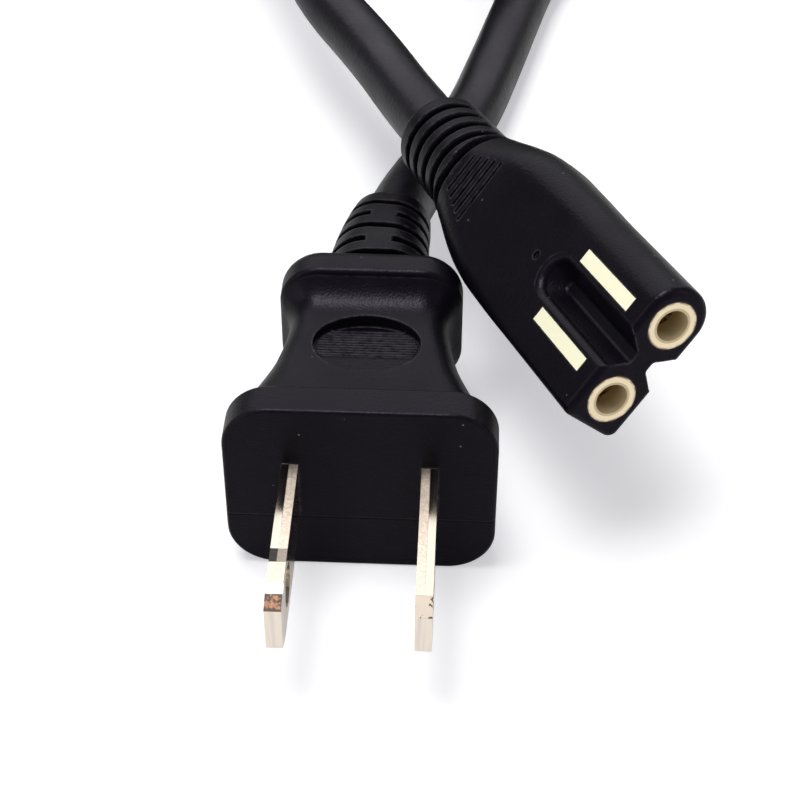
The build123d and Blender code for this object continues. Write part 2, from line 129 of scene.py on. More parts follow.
class Graph:
    """A node tree with short ways to add nodes and join their sockets."""

    def __init__(self, tree: bpy.types.NodeTree) -> None:
        """Start on a tree, emptied of whatever it held.

        Args:
            tree: The material's, world's or group's node tree.
        """
        self.tree = tree
        tree.nodes.clear()

    def add(self, kind: str, settings: dict | None = None, **inputs: object) -> bpy.types.Node:
        """Add one node.

        Args:
            kind: The node's type name.
            settings: Attributes of the node itself.
            inputs: Values or output sockets for its inputs, by name, with underscores for spaces.

        Returns:
            The new node.
        """
        node = self.tree.nodes.new(kind)
        for name, value in (settings or {}).items():
            setattr(node, name, value)
        for name, value in inputs.items():
            self.feed(node, name.replace("_", " "), value)
        return node

    def feed(self, node: bpy.types.Node, name: str | int, value: object) -> None:
        """Set or link one input.

        Args:
            node: The node that owns the input.
            name: The input's name or number.
            value: A plain value, or an output socket to link.
        """
        if isinstance(value, bpy.types.NodeSocket):
            self.tree.links.new(value, node.inputs[name])
        else:
            node.inputs[name].default_value = value

    def math(self, operation: str, *values: object) -> bpy.types.NodeSocket:
        """Work out one sum.

        Args:
            operation: The Math node's operation.
            values: Its values or sockets, in order.

        Returns:
            The result's socket.
        """
        node = self.add("ShaderNodeMath", {"operation": operation})
        for index, value in enumerate(values):
            self.feed(node, index, value)
        return node.outputs[0]

    def both(self, first: object, second: object) -> bpy.types.NodeSocket:
        """Multiply two masks, so the result holds only where both do.

        Args:
            first: The first value or socket.
            second: The second value or socket.

        Returns:
            The product's socket.
        """
        return self.math("MULTIPLY", first, second)

    def noise(self, where: object, scale: object, detail: float = 3.0, **inputs: object) -> bpy.types.NodeSocket:
        """Add a cloud noise.

        Args:
            where: The place to sample, a socket.
            scale: How fine it is, a value or socket.
            detail: Its finer layers.
            inputs: Values for its other inputs.

        Returns:
            The noise's socket.
        """
        return self.add("ShaderNodeTexNoise", Vector=where, Scale=scale, Detail=detail, **inputs).outputs["Fac"]

    def spread(self, value: object, low: float, high: float, to_low: float, to_high: float) -> bpy.types.NodeSocket:
        """Map a value from one range smoothly to another.

        Args:
            value: The socket to map.
            low: The range's start.
            high: The range's end.
            to_low: What the start becomes.
            to_high: What the end becomes.

        Returns:
            The mapped value's socket.
        """
        node = self.add("ShaderNodeMapRange", {"interpolation_type": "SMOOTHSTEP"})
        names = ("Value", "From Min", "From Max", "To Min", "To Max")
        for name, number in zip(names, (value, low, high, to_low, to_high)):
            self.feed(node, name, number)
        return node.outputs["Result"]

    def blend(self, mask: object, first: object, second: object) -> bpy.types.NodeSocket:
        """Mix two colours by a mask.

        Args:
            mask: 0 gives the first colour and 1 the second.
            first: A colour or socket.
            second: A colour or socket.

        Returns:
            The mixed colour's socket.
        """
        node = self.add("ShaderNodeMix", {"data_type": "RGBA"})
        self.feed(node, 0, mask)
        self.feed(node, 6, first)
        self.feed(node, 7, second)
        return node.outputs[2]


@dataclass(frozen=True)
class Port:
    """One socket on the outside of a node group."""

    name: str
    kind: str
    default: float | None = None
    outlet: bool = False


class SharedEffect:
    """A node group that several finishes place with values of their own."""

    title = "effect"
    ports: tuple[Port, ...] = ()

    def group(self) -> bpy.types.ShaderNodeTree:
        """Give the group, building it the first time.

        Returns:
            The group's node tree.
        """
        found = bpy.data.node_groups.get(self.title)
        if found:
            return found
        tree = bpy.data.node_groups.new(self.title, "ShaderNodeTree")
        for port in self.ports:
            side = "OUTPUT" if port.outlet else "INPUT"
            socket = tree.interface.new_socket(port.name, in_out=side, socket_type=port.kind)
            if port.default is not None:
                socket.default_value = port.default
        graph = Graph(tree)
        inlet = graph.add("NodeGroupInput")
        outlet = graph.add("NodeGroupOutput")
        self.wire(graph, inlet, outlet)
        return tree

    def wire(self, graph: Graph, inlet: bpy.types.Node, outlet: bpy.types.Node) -> None:
        """Fill the group in; each effect has its own way."""
        raise NotImplementedError

    def place(self, graph: Graph, **inputs: object) -> bpy.types.Node:
        """Put the group into a material.

        Args:
            graph: The material's graph.
            inputs: Values or sockets for the group's inputs.

        Returns:
            The group's node.
        """
        return graph.add("ShaderNodeGroup", {"node_tree": self.group()}, **inputs)


class PebbleGrain(SharedEffect):
    """The fine pebbled skin that a sparked mould leaves on soft plastic."""

    title = "Pebble grain"
    ports = (
        Port("Vector", "NodeSocketVector"),
        Port("Scale", "NodeSocketFloat", 2600.0),
        Port("Height", "NodeSocketFloat", None, True),
    )

    def wire(self, graph: Graph, inlet: bpy.types.Node, outlet: bpy.types.Node) -> None:
        """Join rounded cells and a finer noise into one height."""
        vector, scale = inlet.outputs["Vector"], inlet.outputs["Scale"]
        cells = graph.add("ShaderNodeTexVoronoi", {"feature": "SMOOTH_F1"}, Vector=vector, Scale=scale, Smoothness=0.6)
        fine = graph.noise(vector, graph.both(scale, 0.45), 4.0)
        graph.feed(outlet, "Height", graph.math("MULTIPLY_ADD", fine, 0.8, cells.outputs["Distance"]))


class Cloud(SharedEffect):
    """Slow uneven patches, as in handled or unevenly cooled plastic."""

    title = "Cloudy patches"
    ports = (
        Port("Vector", "NodeSocketVector"),
        Port("Scale", "NodeSocketFloat", 120.0),
        Port("Low", "NodeSocketFloat", 0.4),
        Port("High", "NodeSocketFloat", 0.5),
        Port("Value", "NodeSocketFloat", None, True),
    )

    def wire(self, graph: Graph, inlet: bpy.types.Node, outlet: bpy.types.Node) -> None:
        """Map a soft noise between the two values."""
        noise = graph.noise(inlet.outputs["Vector"], inlet.outputs["Scale"])
        mapped = graph.add("ShaderNodeMapRange", Value=noise, From_Min=0.32, From_Max=0.68)
        graph.feed(mapped, "To Min", inlet.outputs["Low"])
        graph.feed(mapped, "To Max", inlet.outputs["High"])
        graph.feed(outlet, "Value", mapped.outputs["Result"])


class DustSpecks(SharedEffect):
    """Scattered pale specks of dust."""

    title = "Dust specks"
    ports = (
        Port("Vector", "NodeSocketVector"),
        Port("Scale", "NodeSocketFloat", 900.0),
        Port("Size", "NodeSocketFloat", 0.1),
        Port("Mask", "NodeSocketFloat", None, True),
    )

    def wire(self, graph: Graph, inlet: bpy.types.Node, outlet: bpy.types.Node) -> None:
        """Keep the middles of a few cells."""
        vector, scale = inlet.outputs["Vector"], inlet.outputs["Scale"]
        cells = graph.add("ShaderNodeTexVoronoi", {"feature": "F1"}, Vector=vector, Scale=scale)
        near = graph.math("LESS_THAN", cells.outputs["Distance"], inlet.outputs["Size"])
        chosen = graph.add("ShaderNodeSeparateColor", Color=cells.outputs["Color"])
        few = graph.math("GREATER_THAN", chosen.outputs[0], 0.86)
        graph.feed(outlet, "Mask", graph.both(near, few))


class EdgeWearAndHighlight(SharedEffect):
    """The edges of a piece, broken up by a noise, where handling polishes or scuffs it and a highlight is painted."""

    title = "Edge wear and highlight"
    ports = (
        Port("Vector", "NodeSocketVector"),
        Port("Radius", "NodeSocketFloat", 0.0003),
        Port("Scale", "NodeSocketFloat", 800.0),
        Port("Mask", "NodeSocketFloat", None, True),
    )

    def wire(self, graph: Graph, inlet: bpy.types.Node, outlet: bpy.types.Node) -> None:
        """Compare the rounded normal with the true one."""
        soft = graph.add("ShaderNodeBevel", {"samples": 4}, Radius=inlet.outputs["Radius"])
        true = graph.add("ShaderNodeNewGeometry")
        dot = graph.add("ShaderNodeVectorMath", {"operation": "DOT_PRODUCT"})
        graph.feed(dot, 0, soft.outputs["Normal"])
        graph.feed(dot, 1, true.outputs["Normal"])
        edge = graph.spread(dot.outputs["Value"], 0.99, 0.86, 0.0, 1.0)
        noise = graph.noise(inlet.outputs["Vector"], inlet.outputs["Scale"])
        broken = graph.spread(noise, 0.35, 0.6, 0.25, 1.0)
        graph.feed(outlet, "Mask", graph.both(edge, broken))


@dataclass(frozen=True)
class Finish:
    """A material by name; each kind of finish builds its own nodes."""

    title: str
    colour: Triple
    roughness: float

    def material(self) -> bpy.types.Material:
        """Build the material, or give it if it is there.

        Returns:
            The material.
        """
        found = bpy.data.materials.get(self.title)
        if found:
            return found
        made = bpy.data.materials.new(self.title)
        made.use_nodes = True
        graph = Graph(made.node_tree)
        shader = graph.add("ShaderNodeBsdfPrincipled")
        outlet = graph.add("ShaderNodeOutputMaterial")
        graph.feed(outlet, "Surface", shader.outputs["BSDF"])
        graph.feed(shader, "Base Color", opaque(self.colour))
        graph.feed(shader, "Roughness", self.roughness)
        where = graph.add("ShaderNodeTexCoord").outputs["Object"]
        self.dress(graph, shader, where)
        return made

    def dress(self, graph: Graph, shader: bpy.types.Node, where: bpy.types.NodeSocket) -> None:
        """Add what sets this finish apart; each kind has its own way."""
        raise NotImplementedError


@dataclass(frozen=True)
class SoftMoulding(Finish):
    """Satin black soft plastic with a pebbled skin, dust, and edges painted lighter as rubbed wear with a painted
    highlight.

    The seam is the height of the parting line, where the piece has one.
    """

    grain: float = 4200.0
    grain_depth: float = 0.00002
    dust: float = 0.075
    sheen: float = 0.1
    easing: float = 0.00018
    seam: float | None = None
    seam_half_width: float = 0.00013
    seam_depth: float = 3.0
    patch_scale: float = 160.0
    # The edges and ribs are painted lighter: rubbed wear with a painted highlight.
    rub_highlight_radius: float = 0.00035
    rub_highlight_scale: float = 1500.0
    rub_highlight_share: float = 0.9
    rubbed_highlit: Triple = (0.06, 0.056, 0.067)
    speck_scale: float = 760.0
    speck_share: float = 0.55
    dusty: Triple = (0.2, 0.19, 0.2)
    tint: Triple = (0.88, 0.8, 1.0)

    def dress(self, graph: Graph, shader: bpy.types.Node, where: bpy.types.NodeSocket) -> None:
        """Grain in the bump, patches in the roughness, dust and lighter edges in the colour: rubbed wear with a
        painted highlight.
        """
        low, high = self.roughness - 0.05, self.roughness + 0.07
        patches = Cloud().place(graph, Vector=where, Scale=self.patch_scale, Low=low, High=high)
        graph.feed(shader, "Roughness", patches.outputs["Value"])
        # Painted highlight: edges and ribs are painted lighter, together with rubbed wear.
        edges = EdgeWearAndHighlight().place(graph, Vector=where, Radius=self.rub_highlight_radius, Scale=self.rub_highlight_scale)
        marked_edge = graph.both(edges.outputs["Mask"], self.rub_highlight_share)
        rubbed_highlit = graph.blend(marked_edge, opaque(self.colour), opaque(self.rubbed_highlit))
        specks = DustSpecks().place(graph, Vector=where, Scale=self.speck_scale, Size=self.dust)
        specked = graph.both(specks.outputs["Mask"], self.speck_share)
        graph.feed(shader, "Base Color", graph.blend(specked, rubbed_highlit, opaque(self.dusty)))
        height = PebbleGrain().place(graph, Vector=where, Scale=self.grain).outputs["Height"]
        if self.seam is not None:
            upward = graph.add("ShaderNodeSeparateXYZ", Vector=where).outputs["Z"]
            away = graph.math("ABSOLUTE", graph.math("SUBTRACT", upward, self.seam))
            groove = graph.spread(away, 0.0, self.seam_half_width, self.seam_depth, 0.0)
            height = graph.math("SUBTRACT", height, groove)
        eased = graph.add("ShaderNodeBevel", {"samples": 6}, Radius=self.easing)
        bump = graph.add("ShaderNodeBump", Height=height, Distance=self.grain_depth, Strength=1.0)
        graph.feed(bump, "Normal", eased.outputs["Normal"])
        graph.feed(shader, "Normal", bump.outputs["Normal"])
        graph.feed(shader, "Specular IOR Level", self.sheen)
        graph.feed(shader, "Specular Tint", opaque(self.tint))


@dataclass(frozen=True)
class PlatedMetal(Finish):
    """Bright plate on a stamped blade.

    Each sheared edge is burnished on its outer half, torn on its inner half and painted darker as shade; the left
    blade has a painted dark reflection band, and the cut tips a painted dark reflection in blotches mixed with copper.
    """

    middle: float = 0.00635
    lines: float = 3000.0
    grit: float = 4200.0
    tip: float = -0.0155
    # The band marks where a dark reflection is painted across the left blade.
    band: tuple[float, float] = (-0.0123, -0.0107)
    reflection_band_edge: float = 0.0001
    reflection_band_colour: Triple = (0.02, 0.02, 0.022)
    warm: Triple = (0.42, 0.3, 0.2)
    # The edge shade colour paints shade on the sheared top and bottom edges.
    edge_shade_share: float = 0.8
    edge_shade_colour: Triple = (0.5, 0.43, 0.36)
    end_colour: Triple = (0.6, 0.5, 0.5)
    # The tip colours paint a dark reflection on the cut tips, in blotches mixed with copper.
    tip_reflection_share: float = 0.96
    tip_reflection: Triple = (0.016, 0.01, 0.008)
    copper: Triple = (0.12, 0.055, 0.03)

    def in_reflection_band(self, graph: Graph, along: bpy.types.NodeSocket) -> bpy.types.NodeSocket:
        """Tell where a place along the blade lies in the band of painted dark reflection, with soft ends.

        Args:
            graph: The material's graph.
            along: The place's socket.

        Returns:
            A mask's socket.
        """
        low, high = self.band
        rising = graph.spread(along, low, low + self.reflection_band_edge, 0.0, 1.0)
        return graph.both(rising, graph.spread(along, high + self.reflection_band_edge, high, 0.0, 1.0))

    def streaks(self, graph: Graph, where: bpy.types.NodeSocket, facing: bpy.types.NodeSocket) -> bpy.types.NodeSocket:
        """Find the grey streaks on the blade's end.

        Args:
            graph: The material's graph.
            where: The place's socket.
            facing: The normal's share along the blade, a socket.

        Returns:
            A mask's socket.
        """
        drawn_out = graph.add("ShaderNodeMapping", Vector=where, Scale=(1.0, 0.2, 0.06))
        grey = graph.noise(drawn_out.outputs["Vector"], 2600.0, 2.0)
        return graph.both(graph.spread(facing, -0.8, -0.9, 0.0, 1.0), graph.spread(grey, 0.4, 0.65, 0.0, 0.3))

    def painted_tip_reflection(
        self,
        graph: Graph,
        where: bpy.types.NodeSocket,
        plate: bpy.types.NodeSocket,
        cut: bpy.types.NodeSocket,
        left: bpy.types.NodeSocket,
    ) -> bpy.types.NodeSocket:
        """Paint a dark reflection on the cut tips in blotches, mixed with copper, far more on the left blade.

        Args:
            graph: The material's graph.
            where: The place's socket.
            plate: The plate's colour.
            cut: Where the tips are cut.
            left: Whether it is the left blade.

        Returns:
            The colour's socket.
        """
        blotch = graph.noise(where, 1300.0, 5.0, Roughness=0.65)
        # Painted reflection: dark and copper blotches on the cut tips.
        reflected_tip = graph.both(cut, graph.math("GREATER_THAN", blotch, graph.spread(left, 0.0, 1.0, 0.56, 0.3)))
        metal = graph.blend(graph.spread(blotch, 0.49, 0.55, 0.0, 1.0), opaque(self.tip_reflection), opaque(self.copper))
        return graph.blend(graph.both(reflected_tip, self.tip_reflection_share), plate, metal)

    def dress(self, graph: Graph, shader: bpy.types.Node, where: bpy.types.NodeSocket) -> None:
        """Draw lines on the faces, a torn grain and painted shade on the edges, a painted dark reflection band on the
        left blade and a painted dark reflection in blotches on the cut tips.
        """
        graph.feed(shader, "Metallic", 1.0)
        place = graph.add("ShaderNodeSeparateXYZ", Vector=where)
        normal = graph.add("ShaderNodeSeparateXYZ", Vector=graph.add("ShaderNodeNewGeometry").outputs["Normal"])
        along, facing = place.outputs["Y"], normal.outputs["Y"]
        left = graph.math("LESS_THAN", place.outputs["X"], 0.0)
        level = graph.spread(graph.math("ABSOLUTE", normal.outputs["Z"]), 0.3, 0.8, 0.0, 1.0)
        outward = graph.math("ABSOLUTE", place.outputs["X"])
        inner = graph.spread(outward, self.middle + 0.00012, self.middle, 0.0, 1.0)
        shaft = graph.spread(along, self.tip, self.tip + 0.0008, 0.0, 1.0)
        torn = graph.both(graph.both(level, inner), shaft)
        leaning = graph.both(graph.spread(facing, -0.2, -0.3, 0.0, 1.0), level)
        cut = graph.both(leaning, graph.spread(along, self.tip, self.tip - 0.0002, 0.0, 1.0))
        speckle = graph.noise(where, self.grit)
        spots = graph.both(torn, graph.spread(speckle, 0.4, 0.62, 0.1, 0.9))
        plate = graph.blend(spots, opaque(self.colour), opaque(self.warm))
        # Painted shade: the sheared top and bottom edges are painted darker.
        plate = graph.blend(graph.both(level, self.edge_shade_share), plate, opaque(self.edge_shade_colour))
        plate = graph.blend(self.streaks(graph, where, facing), plate, opaque(self.end_colour))
        # Painted reflection: a dark band across the left blade's sheared edges, stronger on the outer half.
        reflection_band_mask = graph.both(self.in_reflection_band(graph, along), graph.both(left, level))
        reflection_band_mask = graph.both(reflection_band_mask, graph.spread(inner, 0.0, 1.0, 0.97, 0.6))
        plate = graph.blend(reflection_band_mask, plate, opaque(self.reflection_band_colour))
        graph.feed(shader, "Base Color", self.painted_tip_reflection(graph, where, plate, cut, left))
        stretched = graph.add("ShaderNodeMapping", Vector=where, Scale=(1.0, 0.04, 1.0))
        drawn = graph.noise(stretched.outputs["Vector"], self.lines)
        smooth = graph.spread(drawn, 0.3, 0.7, self.roughness * 0.7, self.roughness * 1.3)
        rough = graph.math("MULTIPLY_ADD", graph.math("MAXIMUM", torn, cut), 0.34, smooth)
        graph.feed(shader, "Roughness", rough)
        height = graph.math("MULTIPLY_ADD", graph.both(torn, speckle), 7.0, drawn)
        bump = graph.add("ShaderNodeBump", Height=height, Distance=0.000006, Strength=0.7)
        graph.feed(shader, "Normal", bump.outputs["Normal"])


@dataclass(frozen=True)
class PaleInsert(Finish):
    """Smooth cream plastic, slightly see-through, with soiled edges and sockets painted brown as shade.

    The mouth and the turn place the connector's own axes, in which the two sockets lie level.
    """

    mouth: Triple = (0.02508, 0.00639, 0.011)
    turn: Triple = (-0.1587, -0.8257, 0.5237)
    spacing: float = 0.0043
    bore: float = 0.00176
    rim: float = 0.00238
    front_colour: Triple = (0.9, 0.77, 0.53)
    soil_colour: Triple = (0.3, 0.17, 0.1)
    # The bore shade colour paints shade on the socket walls.
    bore_shade_colour: Triple = (0.36, 0.24, 0.1)

    def dress(self, graph: Graph, shader: bpy.types.Node, where: bpy.types.NodeSocket) -> None:
        """Warmer on the front with a soiled rim, painted brown shade inside the sockets that grows further in, and
        light that spreads under the skin.
        """
        texture = {"vector_type": "TEXTURE"}
        own = graph.add("ShaderNodeMapping", texture, Vector=where, Location=self.mouth, Rotation=self.turn)
        place = graph.add("ShaderNodeSeparateXYZ", Vector=own.outputs["Vector"])
        depth = place.outputs["Y"]
        offset = graph.math("SUBTRACT", graph.math("ABSOLUTE", place.outputs["X"]), self.spacing)
        flat = graph.add("ShaderNodeCombineXYZ", X=offset, Y=0.0, Z=place.outputs["Z"])
        length = {"operation": "LENGTH"}
        reach = graph.add("ShaderNodeVectorMath", length, Vector=flat.outputs["Vector"]).outputs["Value"]
        front = graph.spread(depth, 0.0004, 0.0002, 0.0, 1.0)
        faced = graph.blend(front, opaque(self.colour), opaque(self.front_colour))
        marked_edge = graph.both(graph.spread(reach, self.rim - 0.0002, self.rim, 0.0, 1.0), front)
        uneven = graph.spread(graph.noise(where, 1400.0), 0.35, 0.6, 0.2, 1.0)
        soiled = graph.blend(graph.both(marked_edge, uneven), faced, opaque(self.soil_colour))
        # Painted shade: the socket walls are painted brown, more so further in.
        inside = graph.spread(reach, self.bore + 0.00006, self.bore, 0.0, 1.0)
        deep_shade = graph.both(inside, graph.spread(depth, -0.0002, 0.0024, 0.6, 1.0))
        graph.feed(shader, "Base Color", graph.blend(deep_shade, soiled, opaque(self.bore_shade_colour)))
        low, high = self.roughness - 0.04, self.roughness + 0.08
        patches = Cloud().place(graph, Vector=where, Scale=300.0, Low=low, High=high)
        graph.feed(shader, "Roughness", patches.outputs["Value"])
        graph.feed(shader, "Specular IOR Level", 0.3)
        graph.feed(shader, "Subsurface Weight", 0.1)
        graph.feed(shader, "Subsurface Radius", (0.0008, 0.0006, 0.0003))
        graph.feed(shader, "Subsurface Scale", 1.0)


@dataclass(frozen=True)
class PlainPiece(Finish):
    """A hidden piece: even colour with a soft mottle, metal or plastic."""

    metallic: float = 0.0
    mottle: float = 0.12

    def dress(self, graph: Graph, shader: bpy.types.Node, where: bpy.types.NodeSocket) -> None:
        """A mottled colour and roughness."""
        if self.metallic:
            graph.feed(shader, "Metallic", self.metallic)
        dark = tuple(value * (1 - self.mottle) for value in self.colour)
        mottled = graph.blend(graph.noise(where, 900.0), opaque(self.colour), opaque(dark))
        graph.feed(shader, "Base Color", mottled)
        low, high = self.roughness * 0.85, self.roughness * 1.15
        patches = Cloud().place(graph, Vector=where, Scale=500.0, Low=low, High=high)
        graph.feed(shader, "Roughness", patches.outputs["Value"])


class Finishes:
    """Every finish of the object, by what it covers."""

    moulding = SoftMoulding("Satin black moulding", (0.003, 0.0024, 0.0045), 0.36)
    plug = SoftMoulding("Satin black plug", moulding.colour, moulding.roughness, seam=-0.0033)
    jacket = SoftMoulding("Satin black jacket", (0.006, 0.0053, 0.0078), 0.34, grain=1800.0, dust=0.07, sheen=0.2)
    blade = PlatedMetal("Nickel plated blade", (0.95, 0.85, 0.74), 0.15)
    contact = PlainPiece("Spring brass", (0.8, 0.62, 0.32), 0.3, metallic=1.0)
    insert = PaleInsert("Cream insert", (0.96, 0.93, 0.68), 0.35)
    bridge = PlainPiece("Stiff black bridge", (0.04, 0.04, 0.042), 0.5)
    white_core = PlainPiece("White insulation", (0.8, 0.79, 0.76), 0.4)
    black_core = PlainPiece("Black insulation", (0.025, 0.025, 0.026), 0.4)
    strand = PlainPiece("Bare copper", (0.78, 0.42, 0.26), 0.32, metallic=1.0, mottle=0.3)
    tie = SoftMoulding("Plain black tie", (0.012, 0.011, 0.014), 0.55, grain=1200.0, grain_depth=0.00004, dust=0.07)


@dataclass
class Hank:
    """The lead's wound part: an oval coil, two turns abreast and three high, behind the two ends."""

    centre: tuple[float, float] = (0.0, 146.0)
    straight: float = 52.0
    radius: float = 26.0
    cord: float = 3.5
    floor: float = -5.5
    pitch: float = 7.04
    tangent: float = 18.5
    turns: int = 5
    arc_steps: int = 12
    straight_steps: int = 6
    peel: float = 26.0
    ring: float = 7.45
    seats: tuple[str, ...] = ("O2", "O0", "I0", "I1", "I2", "O1")
    circuit: tuple[str, ...] = ("O0", "I0", "I1", "I2", "O2", "O1")
    front_moves: dict[str, str] = field(default_factory=lambda: {"O2": "O1", "O1": "O0"})

    def seat(self, name: str) -> tuple[float, float]:
        """Where one turn sits in the hank's section.

        Args:
            name: O or I for the outer or inner column, and the row from the table.

        Returns:
            Its distance from the middle line's centre, and its height.
        """
        side = 1.0 if name[0] == "O" else -1.0
        return self.radius + side * (self.cord + 0.02), self.floor + self.pitch * int(name[1])

    def between(self, start: str, end: str, share: float) -> tuple[float, float]:
        """A turn part of the way down from one seat to the next at the front end.

        Args:
            start: The seat it leaves.
            end: The seat it goes to.
            share: How far it has gone, 0 to 1.

        Returns:
            Its distance from the middle line's centre, and its height.
        """
        eased = ease(share)
        first, second = self.seat(start), self.seat(end)
        return tuple(a + (b - a) * eased for a, b in zip(first, second))

    def next_seat(self, name: str) -> str:
        """The seat that a turn goes to on the right side."""
        return self.circuit[(self.circuit.index(name) + 1) % len(self.circuit)]

    def rolling(self, start: str, share: float) -> tuple[float, float]:
        """A turn on the right side, where all six open into a ring, roll round by one seat and close.

        Args:
            start: The seat it leaves.
            share: How far the roll has gone, 0 to 1.

        Returns:
            Its distance from the middle line's centre, and its height.
        """
        rolled = ease((share - 0.1) / 0.8)
        opened = ease((share - 0.04) / 0.36) * ease((0.96 - share) / 0.36)
        angle = math.radians(-60.0 * (1 + self.circuit.index(start) + rolled))
        hub = self.ring * math.sin(math.radians(60.0 + 60.0 * rolled))
        round_place = (self.radius + self.ring * math.cos(angle), self.floor + hub + self.ring * math.sin(angle))
        seat = self.seat(start if rolled < 0.5 else self.next_seat(start))
        puff = 1.0 + 0.2 * opened * (1.0 - opened)
        middle = (self.radius, self.floor)
        return tuple(m + (a + (b - a) * opened - m) * puff for m, a, b in zip(middle, seat, round_place))

    def on_arc(self, polar: float, back: float, place: tuple[float, float]) -> Vector:
        """A control point on one of the hank's round ends.

        Args:
            polar: Its direction from the end's centre, in degrees.
            back: How far that centre is behind the front one.
            place: Its distance from that centre, and its height.

        Returns:
            The point, in metres.
        """
        reach = place[0] / (0.75 + 0.25 * math.cos(math.pi / self.arc_steps))
        angle = math.radians(polar)
        x, y = self.centre[0], self.centre[1] + back
        return Vector((x + reach * math.cos(angle), y + reach * math.sin(angle), place[1])) * MM

    def on_side(self, side: int, back: float, place: tuple[float, float]) -> Vector:
        """A control point on one of the hank's straight sides.

        Args:
            side: -1 on the left, 1 on the right.
            back: How far it is behind the front end's centre.
            place: Its distance from the middle line, and its height.

        Returns:
            The point, in metres.
        """
        return Vector((self.centre[0] + side * place[0], self.centre[1] + back, place[1])) * MM

    def one_side(self, start: str) -> list[Vector]:
        """One pass up the left side, round the far end and down the right side to the front.

        Args:
            start: The seat that the lead is in as it comes to the left side.

        Returns:
            The pass's control points.
        """
        held = self.seat(start)
        points = [self.on_arc(180.0 + self.tangent, 0.0, held)]
        points += [self.on_side(-1, self.straight * i / 3, held) for i in range(4)]
        step = 180.0 / self.arc_steps
        points += [self.on_arc(180.0 - step * i, self.straight, held) for i in range(1, self.arc_steps)]
        for i in range(self.straight_steps + 1):
            share = i / self.straight_steps
            points.append(self.on_side(1, self.straight * (1 - share), self.rolling(start, share)))
        return points + [self.on_arc(-self.tangent, 0.0, self.seat(self.next_seat(start)))]

    def one_front(self, start: str) -> list[Vector]:
        """One pass round the front end, from the right side to the left.

        Args:
            start: The seat that the lead is in as it leaves the right side.

        Returns:
            The pass's control points.
        """
        end = self.front_moves.get(start, start)
        sweep = 180.0 - 2 * self.tangent
        steps = self.arc_steps - 2
        points = []
        for i in range(1, steps):
            share = i / steps
            place = self.between(start, end, (share - 0.09) / 0.82)
            points.append(self.on_arc(-self.tangent - sweep * share, 0.0, place))
        return points

    def control_points(self) -> list[Vector]:
        """The wound part's control points, from the left side's way in to the right side's way out."""
        points: list[Vector] = []
        for turn in range(self.turns + 1):
            start = self.seats[turn]
            points += self.one_side(start)
            if turn < self.turns:
                points += self.one_front(self.next_seat(start))
        return points

    def peel_point(self, side: int, height: float, beyond: float = 0.0) -> Vector:
        """A point on the straight stretch in front of the hank.

        Args:
            side: -1 on the left, 1 on the right.
            height: Its height, in millimetres.
            beyond: How far in front of the stretch's end it lies.

        Returns:
            The point, in metres.
        """
        angle = math.radians(self.tangent)
        reach = self.radius + self.cord
        x, y = self.centre
        touch = Vector((x + side * reach * math.cos(angle), y - reach * math.sin(angle), height))
        return (touch - Vector((side * math.sin(angle), math.cos(angle), 0)) * (self.peel + beyond)) * MM


@dataclass
class Lead:
    """The round lead from the plug's strain relief through the hank to the connector's."""

    hank: Hank
    diameter: float = 7.0
    length: float = 1.73
    floor: float = -6.0
    plug_exit: Triple = (0.88584, 43.09559, -1.0557)
    plug_ahead: Triple = (0.1446, 0.97437, -0.17232)
    plug_route: tuple[Triple, ...] = ((4.7, 60.0, -4.1), (9.1, 72.5, -5.8))
    floor_route: tuple[tuple[float, float], ...] = ((12.5, 88.0), (14.9, 99.5), (17.7, 112.0))
    mouth: Triple = (25.08, 6.39, 11.0)
    mouth_back: Triple = (-0.39327, 0.91316, -0.10713)
    boot_reach: float = 48.5
    connector_route: tuple[Triple, ...] = ((-2.6, 71.6, 4.1), (-10.6, 86.0, 4.4))

    def plug_side(self) -> list[Vector]:
        """The free stretch from the plug, by its route's points."""
        start = Vector(self.plug_exit)
        points = [start, start + Vector(self.plug_ahead) * 7.0]
        points += [Vector(spot) for spot in self.plug_route]
        points += [Vector((x, y, self.floor)) for x, y in self.floor_route]
        return [point * MM for point in points]

    def connector_side(self) -> list[Vector]:
        """The free stretch from the connector, by its route's points."""
        back = Vector(self.mouth_back)
        leave = Vector(self.mouth) + back * self.boot_reach
        points = [leave, leave + back * 9.0] + [Vector(spot) for spot in self.connector_route]
        top = self.hank.floor + 2 * self.hank.pitch
        return [point * MM for point in points] + [self.hank.peel_point(-1, top, beyond) for beyond in (12.0, 0.0)]

    def build(self, finish: Finish) -> bpy.types.Object:
        """Make the lead as one curve.

        Args:
            finish: The jacket's finish.

        Returns:
            The lead.
        """
        points = self.connector_side() + self.hank.control_points() + list(reversed(self.plug_side()))
        shape = bpy.data.curves.new("lead", "CURVE")
        shape.dimensions = "3D"
        shape.bevel_depth = self.diameter / 2 * MM
        shape.bevel_resolution = 7
        shape.resolution_u = 7
        shape.use_fill_caps = True
        spline = shape.splines.new("NURBS")
        spline.points.add(len(points) - 1)
        for spot, point in zip(spline.points, points):
            spot.co = (*point, 1.0)
        spline.order_u = 3
        spline.use_endpoint_u = True
        spline.use_smooth = True
        lead = bpy.data.objects.new("lead", shape)
        bpy.context.collection.objects.link(lead)
        lead.data.materials.append(finish.material())
        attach(lead, "root")
        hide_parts("cord_plug_side", "cord_coil", "cord_connector_side")
        return lead

    def declare(self) -> None:
        """Work out the first point of the connector side; the lead's length and thickness are not stated anywhere.
        """
        tuple(self.connector_side()[0])


